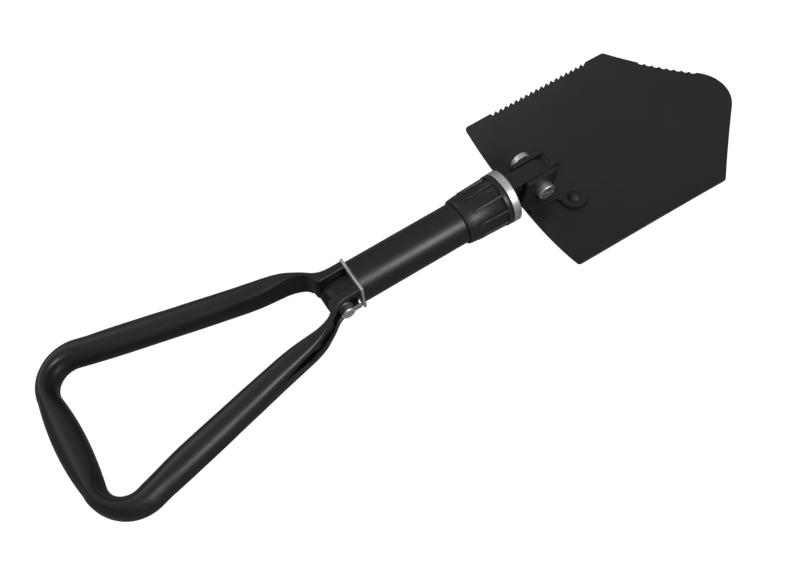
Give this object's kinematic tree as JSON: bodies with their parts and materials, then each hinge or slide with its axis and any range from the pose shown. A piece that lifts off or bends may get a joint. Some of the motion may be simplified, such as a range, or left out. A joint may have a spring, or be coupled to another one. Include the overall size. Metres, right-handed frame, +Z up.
{
  "type": "camp shovel",
  "caption": "Tri-fold camp shovel: dished pointed blade with one saw-toothed edge, steel shaft with a screw locking collar, and a folding D-shaped handle.",
  "frame": {"origin": "middle of the unfolded shovel's length and width, at the level of the lowest line of the blade's back", "axes": "+X along the shaft from the grip to the blade tip, +Y towards the saw-toothed edge, +Z up out of the blade's hollow face"},
  "size_m": [0.5878, 0.154, 0.045],
  "materials": {
    "blade_plate": "fine-textured matt black powder coat",
    "hinge_bracket": "fine-textured matt black powder coat, worn on the ear edges",
    "bracket_rivets": "black coated domed rivets, rubbed bright on top",
    "pivot_bolt": "bright zinc plated, slotted",
    "pivot_spacer": "blackened steel",
    "pivot_nut": "bright zinc plated",
    "shaft_tube": "satin charcoal coat",
    "head_fitting": "satin black coat",
    "threaded_sleeve": "oiled machined steel",
    "snap_ring": "spring steel, blued",
    "pivot_bush": "oiled bronze",
    "pivot_washers": "oiled plain steel",
    "head_pin": "ground steel",
    "handle_fitting": "satin charcoal coat",
    "stop_plate": "bright zinc plated, sheared edges",
    "rear_pin": "blackened steel",
    "handle_bush": "oiled bronze",
    "friction_washers": "plain steel",
    "d_handle": "satin charcoal coat",
    "handle_screw": "bright zinc plated, slotted",
    "handle_nut": "zinc plated",
    "handle_washers": "zinc plated",
    "thrust_ring": "bright zinc plated, turned",
    "lock_collar": "moulded black nylon, slight sheen on the ribs",
    "collar_insert": "oiled machined steel"
  },
  "bodies": {
    "shaft": {"shaft_tube": "shaft_tube", "head_fitting": "head_fitting", "threaded_sleeve": "threaded_sleeve", "snap_ring": "snap_ring", "pivot_bush": "pivot_bush", "pivot_washers": "pivot_washers", "head_pin": "head_pin", "handle_fitting": "handle_fitting", "stop_plate": "stop_plate", "rear_pin": "rear_pin", "handle_bush": "handle_bush", "friction_washers": "friction_washers"},
    "blade": {"blade_plate": "blade_plate", "hinge_bracket": "hinge_bracket", "bracket_rivets": "bracket_rivets", "pivot_bolt": "pivot_bolt", "pivot_spacer": "pivot_spacer", "pivot_nut": "pivot_nut"},
    "d_handle": {"d_handle": "d_handle", "handle_screw": "handle_screw", "handle_nut": "handle_nut", "handle_washers": "handle_washers"},
    "thrust_ring": {"thrust_ring": "thrust_ring"},
    "lock_collar": {"lock_collar": "lock_collar", "collar_insert": "collar_insert"}
  },
  "joints": [
    {"name": "blade_fold", "type": "hinge", "parent": "shaft", "child": "blade", "pos_m": [0.10507, 0, 0.024], "axis": [0, -1, 0], "range_deg": [0, 180]},
    {"name": "handle_fold", "type": "hinge", "parent": "shaft", "child": "d_handle", "pos_m": [-0.07143, 0, 0.0185], "axis": [0, -1, 0], "range_deg": [0, 170]},
    {"name": "ring_slide", "type": "slide", "parent": "shaft", "child": "thrust_ring", "axis": [1, 0, 0], "range_m": [-0.006, 0]},
    {"name": "collar_spin", "type": "hinge", "parent": "thrust_ring", "child": "lock_collar", "pos_m": [0.05507, 0, 0.024], "axis": [1, 0, 0], "range_deg": [0, 720]}
  ],
  "couplings": [
    {"joint": "collar_spin", "follows": "ring_slide", "rad_per_m": -2094.4}
  ]
}
